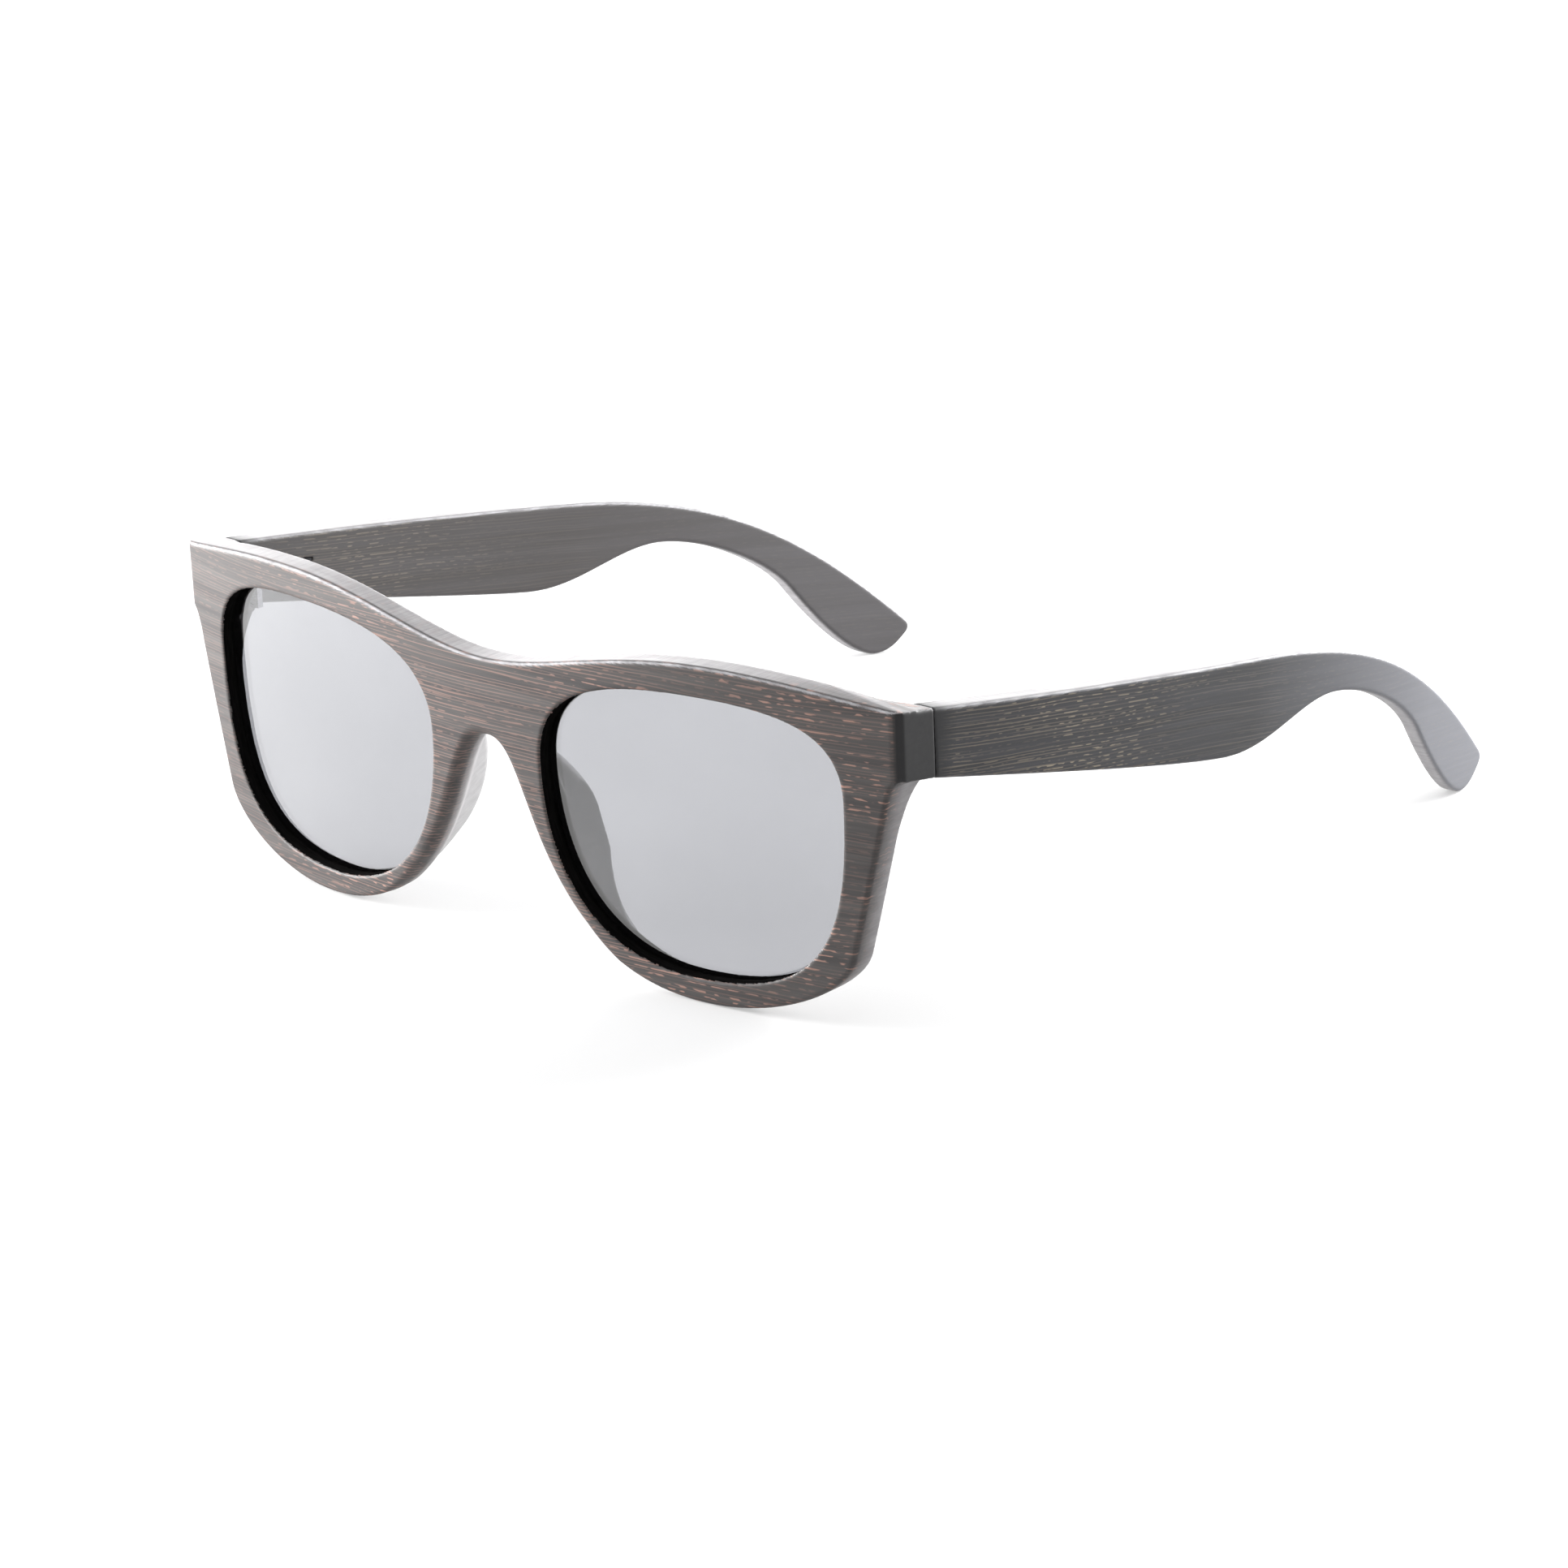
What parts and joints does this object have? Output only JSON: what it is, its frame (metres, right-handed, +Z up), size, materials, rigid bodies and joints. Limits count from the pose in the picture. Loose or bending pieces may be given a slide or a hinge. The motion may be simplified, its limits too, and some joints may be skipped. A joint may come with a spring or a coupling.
{
  "type": "sunglasses",
  "caption": "Wooden sunglasses with grey lenses in a wrapped front, carved nose pads, and bowed temples that fold and flex on spring hinges.",
  "frame": {"origin": "on the table, at the middle of the footprint of the open glasses", "axes": "+X to the wearer's left, +Y back along the temples, +Z up"},
  "size_m": [0.148, 0.1696, 0.0512],
  "materials": {
    "wood_front": "dark-stained bamboo, satin lacquer",
    "wood_temple": "dark-stained bamboo, satin lacquer",
    "lens": "grey tint with a light mirror",
    "steel": "plain steel"
  },
  "bodies": {
    "front": {"front_frame": "wood_front", "lens_left": "lens", "lens_right": "lens", "hinge_leaf_left": "steel", "hinge_leaf_right": "steel", "leaf_screws_left": "steel", "leaf_screws_right": "steel", "hinge_screw_left": "steel", "hinge_screw_right": "steel"},
    "slider_left": {"hinge_slider_left": "steel", "slider_nut_left": "steel"},
    "temple_left": {"temple_left": "wood_temple", "spring_box_left": "steel", "box_screw_left": "steel", "hinge_spring_left": "steel"},
    "slider_right": {"hinge_slider_right": "steel", "slider_nut_right": "steel"},
    "temple_right": {"temple_right": "wood_temple", "spring_box_right": "steel", "box_screw_right": "steel", "hinge_spring_right": "steel"}
  },
  "joints": [
    {"name": "fold_left", "type": "hinge", "parent": "front", "child": "slider_left", "pos_m": [0.0671, -0.06832, 0.04183], "axis": [0, -0.061, 0.9981], "range_deg": [0, 89]},
    {"name": "slide_left", "type": "slide", "parent": "slider_left", "child": "temple_left", "axis": [0.0872, 0.9898, -0.1128], "range_m": [0, 0.0006], "stiffness_N_per_m": 2700, "deforming": ["hinge_spring_left"]},
    {"name": "fold_right", "type": "hinge", "parent": "front", "child": "slider_right", "pos_m": [-0.0671, -0.06832, 0.04183], "axis": [0, 0.061, -0.9981], "range_deg": [0, 82]},
    {"name": "slide_right", "type": "slide", "parent": "slider_right", "child": "temple_right", "axis": [-0.0872, 0.9898, -0.1128], "range_m": [0, 0.0006], "stiffness_N_per_m": 2700, "deforming": ["hinge_spring_right"]}
  ]
}
